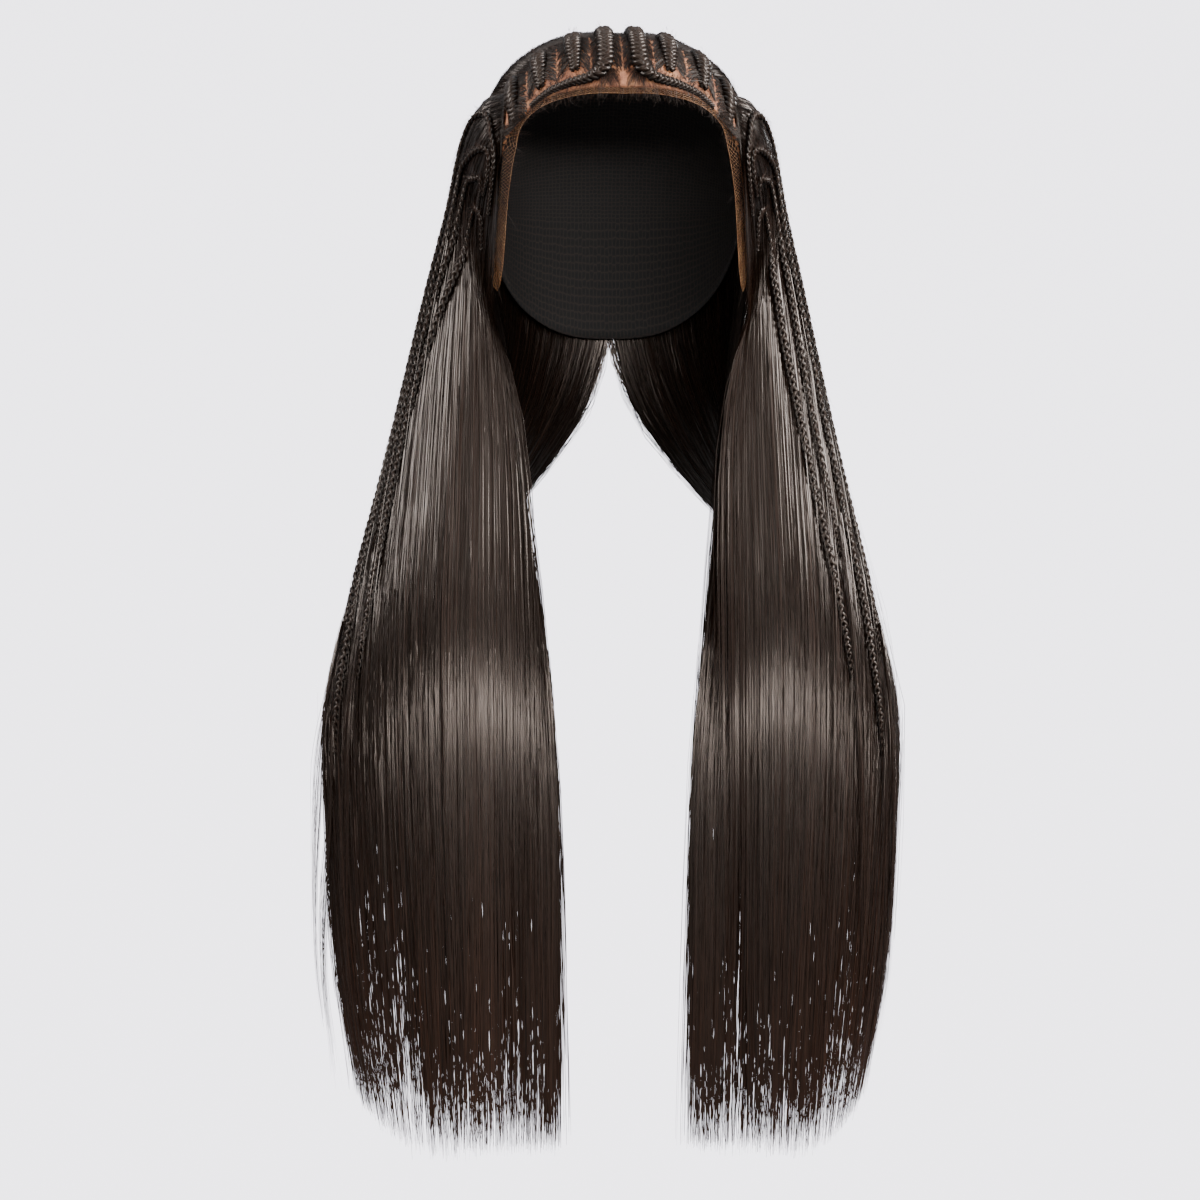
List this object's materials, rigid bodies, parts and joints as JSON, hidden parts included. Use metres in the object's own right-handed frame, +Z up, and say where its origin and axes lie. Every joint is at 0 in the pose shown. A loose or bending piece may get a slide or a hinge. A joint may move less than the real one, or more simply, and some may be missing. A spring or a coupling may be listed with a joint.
{
  "type": "lace front wig",
  "caption": "Long straight dark wig on a lace front cap, with cornrows over the crown, arched temple braids that hang as plaits, and loose hair drawn forward in a fall each side.",
  "frame": {"origin": "inside of the cap at its crown, where the top of the head touches it", "axes": "+Z up along the head, hairline facing -Y, +X to the right as seen from the front; left and right in node names are as seen from the front"},
  "size_m": [0.3272, 0.2331, 0.6661],
  "materials": {
    "lace": "matte",
    "cap_net": "matte",
    "braided_hair": "satin",
    "loose_hair": "satin"
  },
  "bodies": {
    "root": {"lace_front": "lace", "cap_back": "cap_net", "center_braid_left": "braided_hair", "cornrow_left_2": "braided_hair", "cornrow_left_3": "braided_hair", "cornrow_left_4": "braided_hair", "side_braid_left_1": "braided_hair", "side_braid_left_2": "braided_hair", "side_braid_left_3": "braided_hair", "side_braid_left_4": "braided_hair", "side_fall_left": "loose_hair", "back_fall_left": "loose_hair", "center_braid_right": "braided_hair", "cornrow_right_2": "braided_hair", "cornrow_right_3": "braided_hair", "cornrow_right_4": "braided_hair", "side_braid_right_1": "braided_hair", "side_braid_right_2": "braided_hair", "side_braid_right_3": "braided_hair", "side_braid_right_4": "braided_hair", "side_fall_right": "loose_hair", "back_fall_right": "loose_hair"}
  },
  "joints": []
}
